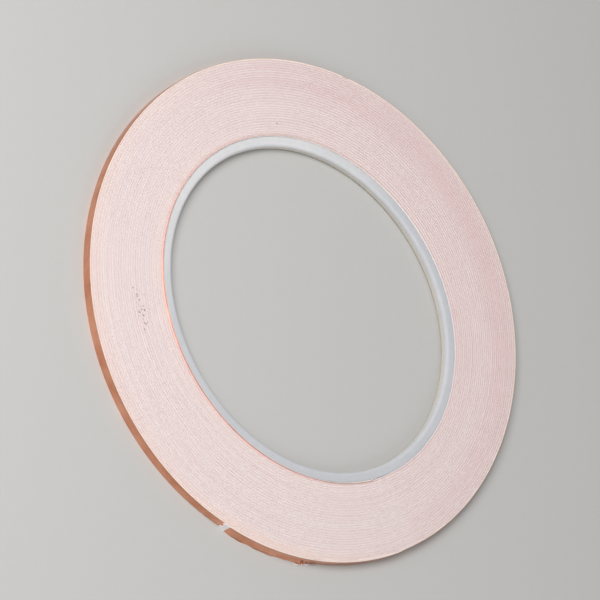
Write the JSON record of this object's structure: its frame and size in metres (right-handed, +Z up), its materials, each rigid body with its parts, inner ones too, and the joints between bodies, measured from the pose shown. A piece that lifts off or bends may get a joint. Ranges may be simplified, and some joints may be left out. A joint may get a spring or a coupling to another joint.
{
  "type": "copper foil tape roll",
  "caption": "Flat roll of narrow adhesive copper foil on a plastic core, with paper liner and a free end that peels away.",
  "frame": {"origin": "centre of the roll, on the surface that it lies on", "axes": "+Z up along the roll's axis; the free tail's root is just clockwise of +X"},
  "size_m": [0.1198, 0.1196, 0.0026],
  "materials": {
    "core_plastic": "moulded satin",
    "starter_tape": "matt",
    "liner_paper": "matt, silicone coated",
    "acrylic_adhesive": "clear, tacky",
    "copper_foil": "bright rolled copper"
  },
  "bodies": {
    "roll": {"core": "core_plastic", "core_starter_tape": "starter_tape", "liner_winding": "liner_paper", "adhesive_winding": "acrylic_adhesive", "foil_winding": "copper_foil"},
    "tail_1": {"liner_tail_1": "liner_paper", "adhesive_tail_1": "acrylic_adhesive", "foil_tail_1": "copper_foil"},
    "tail_2": {"liner_tail_2": "liner_paper", "adhesive_tail_2": "acrylic_adhesive", "foil_tail_2": "copper_foil"},
    "tail_3": {"liner_tail_3": "liner_paper", "adhesive_tail_3": "acrylic_adhesive", "foil_tail_3": "copper_foil"},
    "tail_4": {"liner_tail_4": "liner_paper", "adhesive_tail_4": "acrylic_adhesive", "foil_tail_4": "copper_foil"},
    "tail_5": {"liner_tail_5": "liner_paper", "adhesive_tail_5": "acrylic_adhesive", "foil_tail_5": "copper_foil"},
    "foil_end": {"foil_end": "copper_foil", "adhesive_end": "acrylic_adhesive"}
  },
  "joints": [
    {"name": "tail_peel", "type": "hinge", "parent": "roll", "child": "tail_1", "pos_m": [0.0596, -0.0069, 0.00125], "axis": [0, 0, 1], "range_deg": [0, 24]},
    {"name": "tail_bend_2", "type": "hinge", "parent": "tail_1", "child": "tail_2", "pos_m": [0.05779, -0.01614, 0.00125], "axis": [0, 0, 1], "range_deg": [0, 24]},
    {"name": "tail_bend_3", "type": "hinge", "parent": "tail_2", "child": "tail_3", "pos_m": [0.05455, -0.02498, 0.00125], "axis": [0, 0, 1], "range_deg": [0, 24]},
    {"name": "tail_bend_4", "type": "hinge", "parent": "tail_3", "child": "tail_4", "pos_m": [0.04997, -0.0332, 0.00125], "axis": [0, 0, 1], "range_deg": [0, 24]},
    {"name": "tail_bend_5", "type": "hinge", "parent": "tail_4", "child": "tail_5", "pos_m": [0.04417, -0.04061, 0.00125], "axis": [0, 0, 1], "range_deg": [0, 24]},
    {"name": "foil_peel", "type": "hinge", "parent": "tail_5", "child": "foil_end", "pos_m": [0.04106, -0.04375, 0.00125], "axis": [0, 0, 1], "range_deg": [0, 80]}
  ],
  "couplings": [
    {"joint": "tail_bend_2", "follows": "tail_peel", "ratio": 1},
    {"joint": "tail_bend_3", "follows": "tail_peel", "ratio": 1},
    {"joint": "tail_bend_4", "follows": "tail_peel", "ratio": 1},
    {"joint": "tail_bend_5", "follows": "tail_peel", "ratio": 1}
  ]
}
